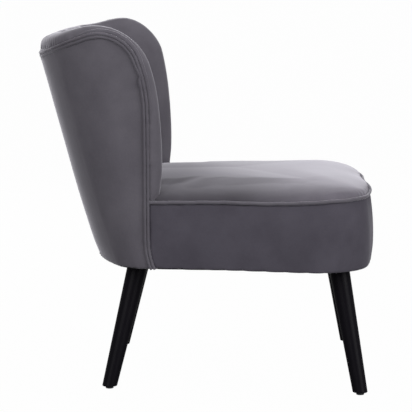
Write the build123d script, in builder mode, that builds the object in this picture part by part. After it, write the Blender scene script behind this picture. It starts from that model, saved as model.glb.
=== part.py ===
"""Armless wing-back occasional chair: webbed timber seat box, curved padded back, four screwed-on turned legs.

Millimetres. +Z is up, the chair faces -Y, and the origin is on the floor under the middle of the chair.
"""

from build123d import *
import os
from math import asin, cos, pi, radians, sin, sqrt, tan

# Heights above the floor
seat_base_height = 250
seat_edge_height = 381.5

# Seat plan at its base, at the outer face of its cover
seat_front = -347
seat_front_corner = -311
seat_front_half = 298
seat_side_end = 99
seat_side_end_half = 258
seat_corner_radius = 110
seat_spread = 8
seat_front_lean = 7
seat_rise_to_front = 1.7

# Crown of the seat above its piping
seat_crown = 47
seat_crown_run = 100
seat_dome_radius = 1300
seat_dome_centre = -124
seat_dome_spare = 4

# Back plan at three heights, at the outer face of its cover: half width, rear, bow of the rear, corner radius
waist_height = 450
loft_top_height = 760
back_base_plan = (261, 224, 72, 70)
back_waist_plan = (274, 287, 82, 100)
back_top_plan = (297, 363, 94, 125)
back_toe_in = 0.05
back_front_limit = -150

# Crest of the rolled edge seen from the side
wing_belly = 78.5
wing_belly_height = 490
wing_front_radius = 568
wing_shoulder_radius = 109
wing_top_at = 200
wing_top_height = 739.5
wing_top_slope = 16

# Edge of the boards seen from the side, where the rolled edge ends
edge_belly = 104.7
edge_belly_height = 550
edge_front_radius = 338
edge_shoulder_radius = 83
edge_top_height = 725.2
edge_top_slope = 19.7
edge_flick = 12
edge_flick_height = 60

# Layers of the back and of the seat
cover_thickness = 3
board_thickness = 18
web_thickness = 2
pad_thickness = 36
edge_wadding = 14
deck_thickness = 1.5
dust_cover_thickness = 1
fit_gap = 0.3

# Round of the rolled edge, and piping
roll_radius = 26
piping_diameter = 6

# Buttoning of the inside back
button_rows = (4, 3, 4)
button_pitch = 125
button_row_pitch = 80
button_top_height = 645
button_diameter = 22
button_thickness = 8
button_rounding = 5
tuft_radius = 62
tuft_depth = 14

# Seat frame
rail_thickness = 22
rail_height = 84
front_block_length = 120
front_block_inside = 42
rear_block_length = 70
rear_block_width = 80
web_width = 50
long_web_places = (-165, -55, 55, 165)
cross_web_places = (-225, -110, 5)

# Back frame
bottom_rail_height = 130
lumbar_rail_low = 455
lumbar_rail_height = 40
top_rail_low = 612
top_rail_height = 40
wing_board_depth = 30
back_web_places = (-135, -45, 45, 135)

# Legs: place of the axis under the seat and on the floor
front_leg_top = (205, -269.5)
front_leg_foot = (262, -313)
rear_leg_top = (155, 133)
rear_leg_foot = (214, 191)
leg_top_diameter = 41
leg_foot_diameter = 29
leg_foot_rounding = 1.5
glide_diameter = 16
glide_height = 5
glide_pin_diameter = 4
glide_pin_length = 14
glide_rounding = 1.5

# Fasteners
bolt_diameter = 8
hanger_bolt_length = 72
hanger_bolt_in_leg = 36
tee_nut_diameter = 22
tee_nut_barrel = 11
tee_nut_length = 14
tee_nut_flange = 1.6
tee_nut_depth = 8
back_bolt_places = (-95, -35, 35, 95)
back_bolt_height = 290
back_bolt_head = 14
back_bolt_head_height = 5.5
back_washer_diameter = 20
back_washer_thickness = 1.6

# Everything beyond the chair, for cuts that pass right through it
reach = 500
foot_reach = 100

os.makedirs("parts", exist_ok=True)


def save(piece, name):
    """Labels a finished piece and writes its STEP file."""
    piece.part.label = name
    export_step(piece.part, f"parts/{name}.step")


# Depths inside the back, measured inwards from the outer face of its cover
board_outer = cover_thickness + fit_gap
board_inner = board_outer + board_thickness
rear_rail_outer = board_inner + fit_gap
rear_rail_inner = rear_rail_outer + rail_thickness
web_outer = board_inner + fit_gap
web_inner = web_outer + web_thickness
pad_outer = web_inner + fit_gap
pad_inner = pad_outer + pad_thickness
back_thickness = pad_inner + cover_thickness

# Distances in from the end of the rolled edge, seen from the side
inner_piping_edge = fit_gap
outer_piping_edge = inner_piping_edge + piping_diameter
outer_cover_edge = outer_piping_edge + piping_diameter + fit_gap

# Heights of the layers of the seat
frame_base = seat_base_height + dust_cover_thickness + 2 * fit_gap
rail_top = frame_base + rail_height
long_web_base = rail_top + fit_gap
cross_web_base = long_web_base + web_thickness + fit_gap
deck_base = cross_web_base + web_thickness + fit_gap
foam_base = deck_base + deck_thickness + fit_gap

# Depths inside the seat, measured inwards from the outer face of its border
rail_outer = cover_thickness + edge_wadding + 2 * fit_gap
rail_inner = rail_outer + rail_thickness


def seat_edge_plane(rise=0):
    """Plane of the seat piping, lifted by rise: it climbs a little towards the front."""
    middle_height = seat_edge_height + seat_side_end * tan(radians(seat_rise_to_front))
    return Plane(origin=(0, 0, middle_height + rise)).rotated((-seat_rise_to_front, 0, 0))


def seat_section(plane, inset=0, share=0):
    """Seat plan moved inwards by inset: sides that widen to the front, round corners and a bowed front.

    Share is 0 at the base and 1 at the piping, where the sides have spread and the front has leaned back.
    """
    taper = (seat_front_half - seat_side_end_half) / (seat_side_end - seat_front_corner)
    rear = back_top_plan[1]
    rear_half = seat_side_end_half + seat_spread * share - taper * (rear - seat_side_end)
    front_half = seat_front_half + seat_spread * share
    front = seat_front + seat_front_lean * share
    front_corner = seat_front_corner + seat_front_lean * share
    with BuildSketch(plane) as section:
        with BuildLine():
            Polyline((-rear_half, rear), (-front_half, front_corner))
            ThreePointArc((-front_half, front_corner), (0, front), (front_half, front_corner))
            Polyline((front_half, front_corner), (rear_half, rear), (-rear_half, rear))
        make_face()
        fillet(section.vertices().group_by(Axis.Y)[0], seat_corner_radius)
        if inset:
            offset(amount=-inset)
    return section.sketch


def seat_dome(inset=0):
    """Adds the crowned top of the seat above its piping, moved inwards by inset."""
    steps = 4
    sections = []
    for step in range(steps + 1):
        turn = radians(90 * step / steps)
        run = seat_crown_run * (1 - cos(turn)) + inset
        rise = (seat_crown + seat_dome_spare - inset) * sin(turn)
        sections.append(seat_section(seat_edge_plane(rise), run, 1))
    loft(sections)
    edge_under_dome = seat_edge_height + (seat_side_end - seat_dome_centre) * tan(radians(seat_rise_to_front))
    with Locations((0, seat_dome_centre, edge_under_dome + seat_crown - seat_dome_radius)):
        Sphere(seat_dome_radius - inset, mode=Mode.INTERSECT)


def back_core(inset, mode=Mode.ADD):
    """Everything inside the back's outer face moved inwards by inset: a raked, flaring D in plan."""
    heights = (seat_base_height, waist_height, loft_top_height)
    plans = (back_base_plan, back_waist_plan, back_top_plan)
    sections = []
    for height, (half, rear, bow, corner) in zip(heights, plans):
        shoulder = rear - bow
        front_half = half + back_toe_in * (wing_belly - back_front_limit)
        rear_half = half - back_toe_in * (shoulder - wing_belly)
        with BuildSketch(Plane.XY.offset(height)) as section:
            with BuildLine():
                Polyline((-front_half, back_front_limit), (-rear_half, shoulder))
                ThreePointArc((-rear_half, shoulder), (0, rear), (rear_half, shoulder))
                Polyline((rear_half, shoulder), (front_half, back_front_limit), (-front_half, back_front_limit))
            make_face()
            fillet(section.vertices().group_by(Axis.Y)[1], corner)
            if inset:
                offset(amount=-inset)
        sections.append(section.sketch)
    loft(sections, mode=mode)


def top_corner(belly, belly_height, front_radius, top_height, top_slope):
    """Point where a front that arcs up from its belly meets a top that falls to the rear."""
    centre = belly + front_radius
    slope = radians(top_slope)
    top_offset = (wing_top_at - centre) * sin(slope) + (top_height - belly_height) * cos(slope)
    turn = pi - asin(top_offset / front_radius) - slope
    return centre + front_radius * cos(turn), belly_height + front_radius * sin(turn)


def pad_side(inset):
    """Side view of the padding, moved inwards by inset from the crest of its rolled edge: one long arc up from
    the seat, the round shoulder, then the top."""
    corner = top_corner(wing_belly, wing_belly_height, wing_front_radius, wing_top_height, wing_top_slope)
    drop = wing_belly_height - foam_base
    start = (wing_belly + wing_front_radius - sqrt(wing_front_radius**2 - drop**2), foam_base)
    rear_top = (reach, corner[1] - (reach - corner[0]) * tan(radians(wing_top_slope)))
    with BuildSketch(Plane.YZ) as side:
        with BuildLine():
            RadiusArc(start, corner, wing_front_radius)
            Polyline(corner, rear_top, (reach, foam_base), start)
        make_face()
        shoulder = side.vertices().sort_by_distance((corner[0], corner[1], 0))[0]
        fillet(shoulder, wing_shoulder_radius)
        if inset:
            offset(amount=-inset)
    return side.sketch


def edge_side(inset=0):
    """Side view of the boards and the outer cover, moved inwards by inset from the end of the rolled edge: a
    foot that flicks forwards, an upright front, the arc, the round shoulder, then the top."""
    corner = top_corner(edge_belly, edge_belly_height, edge_front_radius, edge_top_height, edge_top_slope)
    foot = (edge_belly - edge_flick, seat_base_height - foot_reach)
    flick_end = (edge_belly - edge_flick, seat_base_height)
    flick_top = (edge_belly, seat_base_height + edge_flick_height)
    belly = (edge_belly, edge_belly_height)
    rear_top = (reach, corner[1] - (reach - corner[0]) * tan(radians(edge_top_slope)))
    with BuildSketch(Plane.YZ) as side:
        with BuildLine():
            Line(foot, flick_end)
            TangentArc(flick_top, flick_end, tangent=(0, -1))
            Line(flick_top, belly)
            RadiusArc(belly, corner, edge_front_radius)
            Polyline(corner, rear_top, (reach, foot[1]), foot)
        make_face()
        shoulder = side.vertices().sort_by_distance((corner[0], corner[1], 0))[0]
        fillet(shoulder, edge_shoulder_radius)
        if inset:
            offset(amount=-inset)
    return side.sketch


def outside_back(depth):
    """Adds what lies outside the back's depth and behind its edge: the room that the back takes up."""
    extrude(edge_side(), amount=reach, both=True)
    back_core(depth, Mode.SUBTRACT)


def rolled_pad(pad, inset, radius):
    """Adds to pad the padded inside of the back with its rolled rim, moved inwards by inset."""
    side = pad_side(inset)
    back_core(inset)
    back_core(back_thickness - inset, Mode.SUBTRACT)
    extrude(side, amount=reach, both=True, mode=Mode.INTERSECT)
    outline = side.face().outer_wire()
    rim = []
    for edge in pad.edges().filter_by(Axis.X, reverse=True):
        ends = [edge @ place for place in (0, 0.5, 1)]
        gap = max(outline.distance_to(Vertex(0, point.Y, point.Z)) for point in ends)
        if gap < fit_gap / 10 and edge.center().Z > foam_base + inset + fit_gap:
            rim.append(edge)
    fillet(rim, radius)


# Legs: the axis runs from the floor up into the block that holds it
legs = {
    "front_left": (front_leg_top, front_leg_foot, 1),
    "front_right": (front_leg_top, front_leg_foot, -1),
    "rear_left": (rear_leg_top, rear_leg_foot, 1),
    "rear_right": (rear_leg_top, rear_leg_foot, -1),
}


def leg_point(name, height):
    """Point of a leg's axis at a height above the floor."""
    top, foot, side = legs[name]
    share = height / frame_base
    x = side * (foot[0] + (top[0] - foot[0]) * share)
    y = foot[1] + (top[1] - foot[1]) * share
    return Vector(x, y, height)


def leg_plane(name, height):
    """Plane square to a leg's axis at a height above the floor."""
    return Plane(origin=leg_point(name, height), z_dir=leg_point(name, frame_base) - leg_point(name, 0))


upwards = (Align.CENTER, Align.CENTER, Align.MIN)
downwards = (Align.CENTER, Align.CENTER, Align.MAX)

# Legs are turned cones, cut level under the seat and at the glide
for name in legs:
    length = (leg_point(name, frame_base) - leg_point(name, 0)).length
    growth = (leg_top_diameter - leg_foot_diameter) / 2 / length
    spare = leg_top_diameter
    with BuildPart() as leg:
        with Locations(leg_plane(name, 0).offset(-spare)):
            Cone(
                leg_foot_diameter / 2 - growth * spare,
                leg_top_diameter / 2 + growth * spare,
                length + 2 * spare,
                align=upwards,
            )
        split(bisect_by=Plane.XY.offset(frame_base), keep=Keep.BOTTOM)
        split(bisect_by=Plane.XY.offset(glide_height), keep=Keep.TOP)
        fillet(leg.edges().group_by(Axis.Z)[0], leg_foot_rounding)
        with Locations(leg_plane(name, frame_base)):
            Cylinder(bolt_diameter / 2 + fit_gap, 2 * hanger_bolt_in_leg, mode=Mode.SUBTRACT)
        with Locations(leg_point(name, glide_height)):
            Cylinder(glide_pin_diameter / 2 + fit_gap, 2 * glide_pin_length, mode=Mode.SUBTRACT)
    save(leg, f"leg_{name}")

    # Nylon glide with its pin, pushed into the foot of the leg
    with BuildPart() as glide:
        with Locations(leg_point(name, glide_height)):
            Cylinder(glide_diameter / 2, glide_height, align=downwards)
            Cylinder(glide_pin_diameter / 2, glide_pin_length - fit_gap, align=upwards)
        fillet(glide.edges().group_by(Axis.Z)[0], glide_rounding)
    save(glide, f"glide_{name}")

# Hanger bolts, half in the leg and half in the block
with BuildPart() as hanger_bolts:
    for name in legs:
        with Locations(leg_plane(name, frame_base).offset(fit_gap - hanger_bolt_in_leg)):
            Cylinder(bolt_diameter / 2, hanger_bolt_length, align=upwards)
save(hanger_bolts, "leg_hanger_bolts")

# Tee nuts let into the underside of the blocks, round the bolts
with BuildPart() as tee_nuts:
    for name in legs:
        with Locations(leg_plane(name, frame_base + tee_nut_depth)):
            Cylinder(tee_nut_diameter / 2, tee_nut_flange, align=upwards)
            Cylinder(tee_nut_barrel / 2, tee_nut_length, align=upwards)
        with Locations(leg_plane(name, frame_base + tee_nut_depth)):
            Cylinder(bolt_diameter / 2 + fit_gap / 2, 2 * tee_nut_length + 1, mode=Mode.SUBTRACT)
save(tee_nuts, "leg_tee_nuts")

# Room for the boards, webbing and outer cover of the back, which the padding wraps round
with BuildPart() as frame_room:
    outside_back(pad_outer)

# Room for the boards of the back, which the seat fits between
with BuildPart() as board_room:
    outside_back(rear_rail_outer)

# Seat frame: bowed front rail and straight side rails between corner blocks, rear rail bowed like the back
block_inner_x = front_leg_top[0] - front_block_inside
block_inner_y = front_leg_top[1] + front_block_length / 2


def seat_ring(outer, inner, low, height):
    """Adds an upright wall that follows the seat plan between two depths."""
    extrude(seat_section(Plane.XY.offset(low), outer), amount=height)
    extrude(seat_section(Plane.XY.offset(low), inner), amount=height, mode=Mode.SUBTRACT)


def drill_for_leg(name):
    """Cuts the room for a leg's tee nut and bolt out of its block."""
    seat = leg_plane(name, frame_base + tee_nut_depth)
    with Locations(seat.offset(tee_nut_flange + fit_gap)):
        Cylinder(tee_nut_diameter / 2 + fit_gap, 3 * tee_nut_depth, align=downwards, mode=Mode.SUBTRACT)
    with Locations(seat):
        Cylinder(tee_nut_barrel / 2 + fit_gap, tee_nut_length + fit_gap, align=upwards, mode=Mode.SUBTRACT)
        Cylinder(bolt_diameter / 2 + fit_gap, hanger_bolt_in_leg + fit_gap, align=upwards, mode=Mode.SUBTRACT)


with BuildPart() as seat_front_rail:
    seat_ring(rail_outer, rail_inner, frame_base, rail_height)
    with BuildSketch(Plane.XY.offset(frame_base)):
        with Locations((0, block_inner_y)):
            Rectangle(2 * block_inner_x, reach, align=(Align.CENTER, Align.MAX))
    extrude(amount=rail_height, mode=Mode.INTERSECT)
save(seat_front_rail, "seat_front_rail")

for name, side in (("left", 1), ("right", -1)):
    inner_edge = Align.MIN if side > 0 else Align.MAX

    with BuildPart() as seat_side_rail:
        seat_ring(rail_outer, rail_inner, frame_base, rail_height)
        with BuildSketch(Plane.XY.offset(frame_base)):
            with Locations((side * rear_leg_top[0], block_inner_y)):
                Rectangle(reach, reach, align=(inner_edge, Align.MIN))
        extrude(amount=rail_height, mode=Mode.INTERSECT)
        add(board_room.part, mode=Mode.SUBTRACT)
    save(seat_side_rail, f"seat_{name}_rail")

    with BuildPart() as front_block:
        extrude(seat_section(Plane.XY.offset(frame_base), rail_outer), amount=rail_height)
        with BuildSketch(Plane.XY.offset(frame_base)):
            with Locations((side * block_inner_x, block_inner_y)):
                Rectangle(reach, reach, align=(inner_edge, Align.MAX))
        extrude(amount=rail_height, mode=Mode.INTERSECT)
        drill_for_leg(f"front_{name}")
    save(front_block, f"corner_block_front_{name}")

    with BuildPart() as rear_block:
        extrude(seat_section(Plane.XY.offset(frame_base), rail_inner + fit_gap), amount=rail_height)
        block_corner = (side * (rear_leg_top[0] - rear_block_width / 2), rear_leg_top[1] - rear_block_length / 2)
        with BuildSketch(Plane.XY.offset(frame_base)):
            with Locations(block_corner):
                Rectangle(reach, reach, align=(inner_edge, Align.MIN))
        extrude(amount=rail_height, mode=Mode.INTERSECT)
        back_core(rear_rail_inner + fit_gap, Mode.INTERSECT)
        drill_for_leg(f"rear_{name}")
    save(rear_block, f"corner_block_rear_{name}")

with BuildPart() as seat_rear_rail:
    back_core(rear_rail_outer)
    back_core(rear_rail_inner, Mode.SUBTRACT)
    extrude(seat_section(Plane.XY.offset(frame_base), rail_inner + fit_gap), amount=rail_height, mode=Mode.INTERSECT)
    split(bisect_by=Plane.XZ.offset(-rear_leg_top[1]), keep=Keep.BOTTOM)
    bolt_seats = []
    for place in back_bolt_places:
        sight = Axis((place, 0, back_bolt_height), (0, 1, 0))
        point, normal = seat_rear_rail.part.find_intersection_points(sight)[0]
        bolt_seats.append(Plane(origin=point, z_dir=normal))
    with Locations(*bolt_seats):
        Cylinder(bolt_diameter / 2 + fit_gap, 3 * rail_thickness, mode=Mode.SUBTRACT)
save(seat_rear_rail, "seat_rear_rail")

# Bolts through the rear rail of the seat into the bottom rail of the back, with washers under their heads
bolt_reach = rail_thickness + board_thickness
washer_seats = [seat.offset(fit_gap) for seat in bolt_seats]
with BuildPart() as back_washers:
    with Locations(*washer_seats):
        Cylinder(back_washer_diameter / 2, back_washer_thickness, align=upwards)
        Cylinder(bolt_diameter / 2 + fit_gap, 3 * back_washer_thickness, mode=Mode.SUBTRACT)
save(back_washers, "back_bolt_washers")

with BuildPart() as back_bolts:
    with Locations(*[seat.offset(fit_gap + back_washer_thickness) for seat in washer_seats]):
        Cylinder(back_bolt_head / 2, back_bolt_head_height, align=upwards)
        Cylinder(bolt_diameter / 2, bolt_reach, align=downwards)
save(back_bolts, "back_bolts")

# Boards of the back: a bent panel in each wing, and three rails bowed round the rear between them
rake = (back_top_plan[1] - back_base_plan[1]) / (loft_top_height - seat_base_height)
wing_board_rear = back_base_plan[1] - back_base_plan[2] - wing_board_depth / 2
wing_joint = Plane(origin=(0, wing_board_rear, seat_base_height), x_dir=(1, 0, 0), z_dir=(0, -1, rake))


def back_boards():
    """Adds the whole layer of boards behind the padding, down to the base of the seat frame."""
    back_core(board_outer)
    back_core(board_inner, Mode.SUBTRACT)
    extrude(edge_side(fit_gap), amount=reach, both=True, mode=Mode.INTERSECT)
    split(bisect_by=Plane.XY.offset(frame_base), keep=Keep.TOP)


for name, side in (("wing_board_left", 1), ("wing_board_right", -1)):
    with BuildPart() as wing_board:
        back_boards()
        split(bisect_by=wing_joint, keep=Keep.TOP)
        split(bisect_by=Plane.YZ, keep=Keep.TOP if side > 0 else Keep.BOTTOM)
    save(wing_board, name)

rails = (
    ("back_bottom_rail", frame_base, bottom_rail_height),
    ("back_lumbar_rail", lumbar_rail_low, lumbar_rail_height),
    ("back_top_rail", top_rail_low, top_rail_height),
)
for name, low, height in rails:
    with BuildPart() as back_rail:
        back_boards()
        split(bisect_by=wing_joint.offset(-fit_gap), keep=Keep.BOTTOM)
        split(bisect_by=Plane.XY.offset(low), keep=Keep.TOP)
        split(bisect_by=Plane.XY.offset(low + height), keep=Keep.BOTTOM)
        with Locations(*bolt_seats):
            Cylinder(bolt_diameter / 2 + fit_gap, 2 * bolt_reach + board_thickness, mode=Mode.SUBTRACT)
    save(back_rail, name)

# Elastic webbing of the back, upright bands from the bottom rail to the top rail
with BuildPart() as back_webbing:
    back_core(web_outer)
    back_core(web_inner, Mode.SUBTRACT)
    band_low = rail_top + rail_thickness / 2
    band_high = top_rail_low + top_rail_height
    with BuildSketch(Plane.XZ.offset(-reach)):
        with Locations(*[(place, (band_low + band_high) / 2) for place in back_web_places]):
            Rectangle(web_width, band_high - band_low)
    extrude(amount=reach - wing_belly - wing_board_depth, mode=Mode.INTERSECT)
save(back_webbing, "back_webbing")

# Places of the buttons, found on the plain pad before it is tufted
with BuildPart() as plain_pad:
    rolled_pad(plain_pad, 0, roll_radius)

button_planes = []
for row, count in enumerate(button_rows):
    height = button_top_height - row * button_row_pitch
    for place in range(count):
        across = (place - (count - 1) / 2) * button_pitch
        sight = Axis((across, -reach, height), (0, 1, 0))
        point, normal = plain_pad.part.find_intersection_points(sight)[0]
        button_planes.append(Plane(origin=point, z_dir=normal))

# Foam of the back, dimpled where the buttons pull it in
with BuildPart() as back_foam:
    rolled_pad(back_foam, cover_thickness, roll_radius - cover_thickness)
    add(frame_room.part, mode=Mode.SUBTRACT)
    for button_plane in button_planes:
        with Locations(button_plane.offset(tuft_radius - tuft_depth)):
            Sphere(tuft_radius + cover_thickness, mode=Mode.SUBTRACT)
save(back_foam, "back_foam")

# Inner cover of the back, one skin over the foam and its rolled edge
with BuildPart() as back_inner_cover:
    add(plain_pad.part)
    add(frame_room.part, mode=Mode.SUBTRACT)
    for button_plane in button_planes:
        with Locations(button_plane.offset(tuft_radius - tuft_depth)):
            Sphere(tuft_radius, mode=Mode.SUBTRACT)
    add(back_foam.part, mode=Mode.SUBTRACT)
save(back_inner_cover, "back_inner_cover")

# Covered buttons, each seated on its rim in the bottom of its tuft
button_rim_rise = tuft_radius - sqrt(tuft_radius**2 - (button_diameter / 2) ** 2)
with BuildPart() as back_buttons:
    for button_plane in button_planes:
        with Locations(button_plane.offset(button_rim_rise - tuft_depth + fit_gap)):
            Cylinder(button_diameter / 2, button_thickness, align=upwards)
    crowns = []
    for button in back_buttons.solids():
        crowns.append(button.edges().filter_by(GeomType.CIRCLE).sort_by(Axis.Y)[0])
    fillet(crowns, button_rounding)
save(back_buttons, "back_buttons")

# Outer cover of the back, from its piping round both wings and down to the base
with BuildPart() as back_outer_cover:
    back_core(0)
    back_core(cover_thickness, Mode.SUBTRACT)
    extrude(edge_side(outer_cover_edge), amount=reach, both=True, mode=Mode.INTERSECT)
save(back_outer_cover, "back_outer_cover")

# Double piping round the edge of the outer cover: two cords side by side
for name, edge in (("back_piping_inner", inner_piping_edge), ("back_piping_outer", outer_piping_edge)):
    with BuildPart() as back_piping:
        back_core(-piping_diameter / 2)
        back_core(piping_diameter / 2, Mode.SUBTRACT)
        extrude(edge_side(edge + fit_gap / 2), amount=reach, both=True, mode=Mode.INTERSECT)
        extrude(edge_side(edge + piping_diameter - fit_gap / 2), amount=reach, both=True, mode=Mode.SUBTRACT)
    save(back_piping, name)

# Elastic webbing of the seat: bands front to back on the rails, then bands across
with BuildPart() as long_webbing:
    with BuildSketch(Plane.XY.offset(long_web_base)):
        with Locations(*[(place, 0) for place in long_web_places]):
            Rectangle(web_width, reach * 2)
    extrude(amount=web_thickness)
    extrude(seat_section(Plane.XY.offset(long_web_base), rail_outer), amount=web_thickness, mode=Mode.INTERSECT)
    add(board_room.part, mode=Mode.SUBTRACT)
save(long_webbing, "seat_webbing_long")

with BuildPart() as cross_webbing:
    with BuildSketch(Plane.XY.offset(cross_web_base)):
        with Locations(*[(0, place) for place in cross_web_places]):
            Rectangle(reach * 2, web_width)
    extrude(amount=web_thickness)
    extrude(seat_section(Plane.XY.offset(cross_web_base), rail_outer), amount=web_thickness, mode=Mode.INTERSECT)
save(cross_webbing, "seat_webbing_cross")

# Deck cloth over the webbing
with BuildPart() as seat_deck:
    extrude(seat_section(Plane.XY.offset(deck_base), rail_outer), amount=deck_thickness)
    add(board_room.part, mode=Mode.SUBTRACT)
save(seat_deck, "seat_deck")


def seat_box(inset):
    """Adds the flared block of the seat, from its base up to its piping, moved inwards by inset."""
    base = seat_section(Plane.XY.offset(seat_base_height), inset)
    loft([base, seat_section(seat_edge_plane(), inset, 1)])


# Foam of the seat, crowned, and pressed against the back and both wings
with BuildPart() as seat_foam:
    seat_box(cover_thickness)
    split(bisect_by=Plane.XY.offset(foam_base), keep=Keep.TOP)
    seat_dome(cover_thickness)
    add(plain_pad.part, mode=Mode.SUBTRACT)
    add(frame_room.part, mode=Mode.SUBTRACT)
save(seat_foam, "seat_foam")

# Top cover of the seat, above its piping
piping_room = piping_diameter / 2 + fit_gap
with BuildPart() as seat_top_cover:
    seat_dome()
    split(bisect_by=seat_edge_plane(piping_room), keep=Keep.TOP)
    add(seat_foam.part, mode=Mode.SUBTRACT)
    add(plain_pad.part, mode=Mode.SUBTRACT)
    add(frame_room.part, mode=Mode.SUBTRACT)
save(seat_top_cover, "seat_top_cover")

# Border of the seat, the upright velvet band below the piping
side_end = Plane.XZ.offset(-seat_side_end)
with BuildPart() as border_room:
    seat_box(cover_thickness)
with BuildPart() as seat_border:
    seat_box(0)
    add(border_room.part, mode=Mode.SUBTRACT)
    split(bisect_by=seat_edge_plane(-piping_room), keep=Keep.BOTTOM)
    split(bisect_by=side_end, keep=Keep.TOP)
    add(board_room.part, mode=Mode.SUBTRACT)
save(seat_border, "seat_border")

# Wadding between the border and the rails
with BuildPart() as seat_wadding:
    add(border_room.part)
    rails_inside = seat_section(Plane.XY.offset(seat_base_height), rail_outer - fit_gap)
    extrude(rails_inside, amount=reach, mode=Mode.SUBTRACT)
    split(bisect_by=Plane.XY.offset(frame_base), keep=Keep.TOP)
    split(bisect_by=Plane.XY.offset(foam_base - fit_gap), keep=Keep.BOTTOM)
    split(bisect_by=side_end, keep=Keep.TOP)
    add(board_room.part, mode=Mode.SUBTRACT)
save(seat_wadding, "seat_wadding")

# Single piping in the seam between the border and the top cover
with BuildPart() as seat_piping:
    seam = seat_section(seat_edge_plane(), -fit_gap, 1)
    path = Wire(seam.edges().sort_by(Axis.Y)[:-1])
    with BuildSketch(Plane(origin=path @ 0, z_dir=path % 0)):
        Circle(piping_diameter / 2)
    sweep(path=path)
    split(bisect_by=side_end, keep=Keep.TOP)
    add(board_room.part, mode=Mode.SUBTRACT)
save(seat_piping, "seat_piping")

# Dust cover stapled under the seat, with holes for the legs
dust_cover_inset = cover_thickness + fit_gap
with BuildPart() as cover_room:
    outside_back(dust_cover_inset)
with BuildPart() as dust_cover:
    sheet = seat_section(Plane.XY.offset(seat_base_height + fit_gap), dust_cover_inset)
    extrude(sheet, amount=dust_cover_thickness)
    add(cover_room.part, mode=Mode.SUBTRACT)
    with Locations(*[leg_plane(name, seat_base_height) for name in legs]):
        Cylinder(leg_top_diameter / 2 + 2 * fit_gap, leg_top_diameter, mode=Mode.SUBTRACT)
save(dust_cover, "dust_cover")
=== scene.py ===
from math import cos, exp, pi, radians, sin, sqrt

import bpy
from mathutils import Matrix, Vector, kdtree, noise


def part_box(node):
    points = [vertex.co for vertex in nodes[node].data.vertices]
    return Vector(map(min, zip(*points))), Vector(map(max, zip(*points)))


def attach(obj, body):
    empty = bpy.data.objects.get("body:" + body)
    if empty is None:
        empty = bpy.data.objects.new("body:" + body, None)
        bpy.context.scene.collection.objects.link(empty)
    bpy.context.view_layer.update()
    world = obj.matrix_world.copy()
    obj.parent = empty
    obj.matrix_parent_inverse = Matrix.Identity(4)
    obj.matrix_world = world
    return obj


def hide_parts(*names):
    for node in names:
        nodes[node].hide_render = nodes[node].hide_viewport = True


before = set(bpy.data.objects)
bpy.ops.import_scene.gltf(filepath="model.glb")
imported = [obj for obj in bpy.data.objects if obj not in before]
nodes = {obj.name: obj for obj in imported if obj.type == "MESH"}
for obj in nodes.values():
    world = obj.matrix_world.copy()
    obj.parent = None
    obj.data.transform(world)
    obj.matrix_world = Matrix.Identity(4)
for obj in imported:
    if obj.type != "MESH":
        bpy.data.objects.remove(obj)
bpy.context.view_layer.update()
scene = bpy.context.scene

# Frame of the seat and of the back: planed beech rails, corner blocks and bent ply wing boards, glued,
# dowelled and bolted together. It carries everything else and ends up closed in by the covers.
FRAME_TIMBER = (
    "wing_board_left", "wing_board_right", "back_bottom_rail", "back_lumbar_rail", "back_top_rail",
    "seat_front_rail", "seat_left_rail", "seat_right_rail", "seat_rear_rail",
    "corner_block_front_left", "corner_block_front_right",
    "corner_block_rear_left", "corner_block_rear_right",
)
BEECH_LIGHT = "#c9a77c"
BEECH_DARK = "#a98558"
BEECH_GRAIN_MM = 6.0
BEECH_GRAIN_STRETCH = 0.08


def linear(hex_colour):
    """Linear RGBA of an sRGB hex colour."""
    channels = [int(hex_colour[place:place + 2], 16) / 255 for place in (1, 3, 5)]
    return [c / 12.92 if c <= 0.04045 else ((c + 0.055) / 1.055) ** 2.4 for c in channels] + [1.0]


def per_metre(size_mm):
    """Texture scale that gives features of a real size."""
    return 1000 / size_mm


def add_node(tree, kind, inputs, **settings):
    """Adds a node: each input is a plain value, or the output socket it is linked from."""
    made = tree.nodes.new(kind)
    for name, value in settings.items():
        setattr(made, name, value)
    for name, value in inputs.items():
        if isinstance(value, bpy.types.NodeSocket):
            tree.links.new(value, made.inputs[name])
        else:
            made.inputs[name].default_value = value
    return made


def new_material(name):
    """An empty node material."""
    material = bpy.data.materials.new(name)
    material.use_nodes = True
    material.node_tree.nodes.clear()
    return material


def dress(names, material):
    """Puts a material on CAD nodes that stay as they are."""
    for name in names:
        for place in nodes[name].material_slots:
            place.material = material


# Beech: pale and even, with short darker flecks along the grain; sanded, unfinished, so it has no gloss
beech = new_material("planed_beech")
tree = beech.node_tree
place = add_node(tree, "ShaderNodeTexCoord", {})
grain_axes = add_node(
    tree, "ShaderNodeMapping", {"Vector": place.outputs["Object"], "Scale": (BEECH_GRAIN_STRETCH, 1.0, 1.0)})
grain = add_node(
    tree, "ShaderNodeTexNoise",
    {"Vector": grain_axes.outputs["Vector"], "Scale": per_metre(BEECH_GRAIN_MM),
     "Detail": 4.0, "Roughness": 0.6})
grain_colour = add_node(
    tree, "ShaderNodeMix",
    {"Factor": grain.outputs["Fac"], "A": linear(BEECH_LIGHT), "B": linear(BEECH_DARK)},
    data_type="RGBA")
grain_bump = add_node(
    tree, "ShaderNodeBump", {"Height": grain.outputs["Fac"], "Strength": 0.2, "Distance": 0.0004})
wood = add_node(
    tree, "ShaderNodeBsdfPrincipled",
    {"Base Color": grain_colour.outputs["Result"], "Roughness": 0.65, "Normal": grain_bump.outputs["Normal"]})
add_node(tree, "ShaderNodeOutputMaterial", {"Surface": wood.outputs["BSDF"]})
dress(FRAME_TIMBER, beech)

# Fasteners: zinc plated hanger bolts and tee nuts for the legs, and bolts with washers that hold the back
# to the seat. Turned and pressed steel with a thin bright plating, hidden inside the seat.
FASTENERS = ("leg_hanger_bolts", "leg_tee_nuts", "back_bolts", "back_bolt_washers")
ZINC = "#c8cace"
ZINC_SPANGLE_MM = 3.0

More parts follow.
